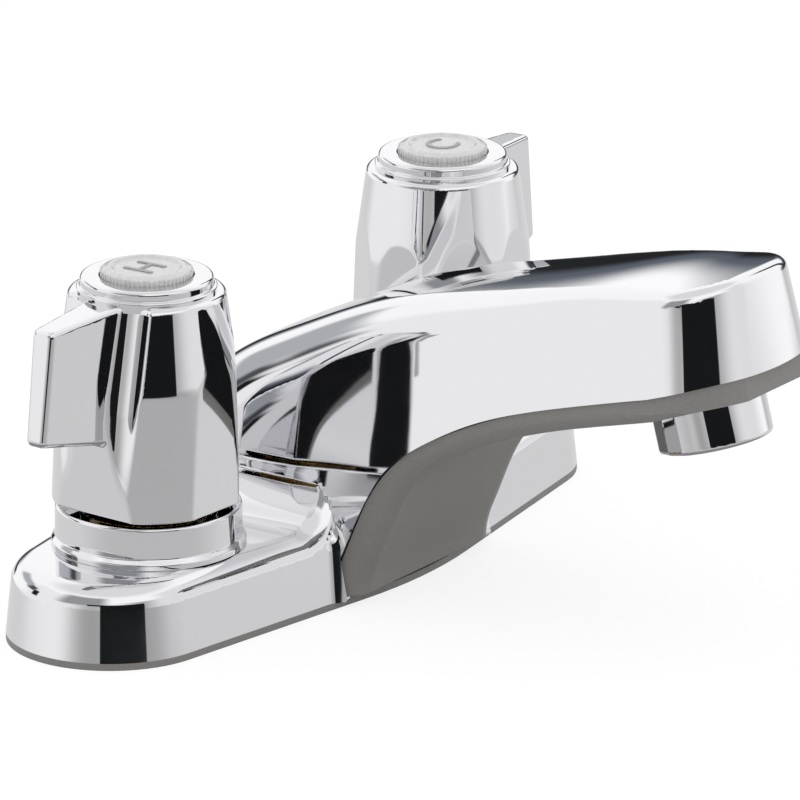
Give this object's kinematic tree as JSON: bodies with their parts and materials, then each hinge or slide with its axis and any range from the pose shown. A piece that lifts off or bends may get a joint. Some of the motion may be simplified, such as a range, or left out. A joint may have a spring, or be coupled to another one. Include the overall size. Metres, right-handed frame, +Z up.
{
  "type": "bathroom faucet",
  "caption": "Centreset basin faucet with a chrome base and swept spout, winged handles that turn on upright valves, an aerator and threaded inlet shanks.",
  "frame": {"origin": "on the deck plane under the rim, midway between the two handle axes", "axes": "+X from the hot handle to the cold one, -Y the way the spout points, +Z up"},
  "size_m": [0.1694, 0.1412, 0.1243],
  "materials": {
    "chrome": "bright plated, mirror smooth",
    "grey_plastic": "moulded, satin",
    "brass": "machined",
    "copper": "drawn copper tube",
    "steel": "stainless",
    "rubber": "moulded, matt",
    "pale_plastic": "moulded",
    "clear_acrylic": "moulded clear, polished",
    "hot_index": "printed disc under the clear button",
    "cold_index": "printed disc under the clear button"
  },
  "bodies": {
    "base": {"chrome_shell": "chrome", "underbody": "grey_plastic", "spout_nozzle": "brass", "aerator_housing": "chrome", "aerator_insert": "pale_plastic", "aerator_washer": "rubber", "spout_tube": "copper", "mixing_block": "brass", "hot_cross_tube": "copper", "hot_valve_body": "brass", "hot_seat": "rubber", "hot_seat_spring": "steel", "hot_stem_sleeve": "pale_plastic", "hot_bonnet_nut": "brass", "hot_collar": "chrome", "hot_mounting_nut": "brass", "hot_mounting_washer": "steel", "cold_cross_tube": "copper", "cold_valve_body": "brass", "cold_seat": "rubber", "cold_seat_spring": "steel", "cold_stem_sleeve": "pale_plastic", "cold_bonnet_nut": "brass", "cold_collar": "chrome", "cold_mounting_nut": "brass", "cold_mounting_washer": "steel"},
    "hot_control": {"hot_handle": "chrome", "hot_handle_screw": "steel", "hot_index_button": "clear_acrylic", "hot_index_disc": "hot_index", "hot_stem": "brass", "hot_stem_ring": "rubber"},
    "cold_control": {"cold_handle": "chrome", "cold_handle_screw": "steel", "cold_index_button": "clear_acrylic", "cold_index_disc": "cold_index", "cold_stem": "brass", "cold_stem_ring": "rubber"}
  },
  "joints": [
    {"name": "hot_handle_turn", "type": "hinge", "parent": "base", "child": "hot_control", "pos_m": [-0.0508, 0, 0.03], "axis": [0, 0, 1], "range_deg": [0, 90]},
    {"name": "cold_handle_turn", "type": "hinge", "parent": "base", "child": "cold_control", "pos_m": [0.0508, 0, 0.03], "axis": [0, 0, 1], "range_deg": [-90, 0]}
  ]
}
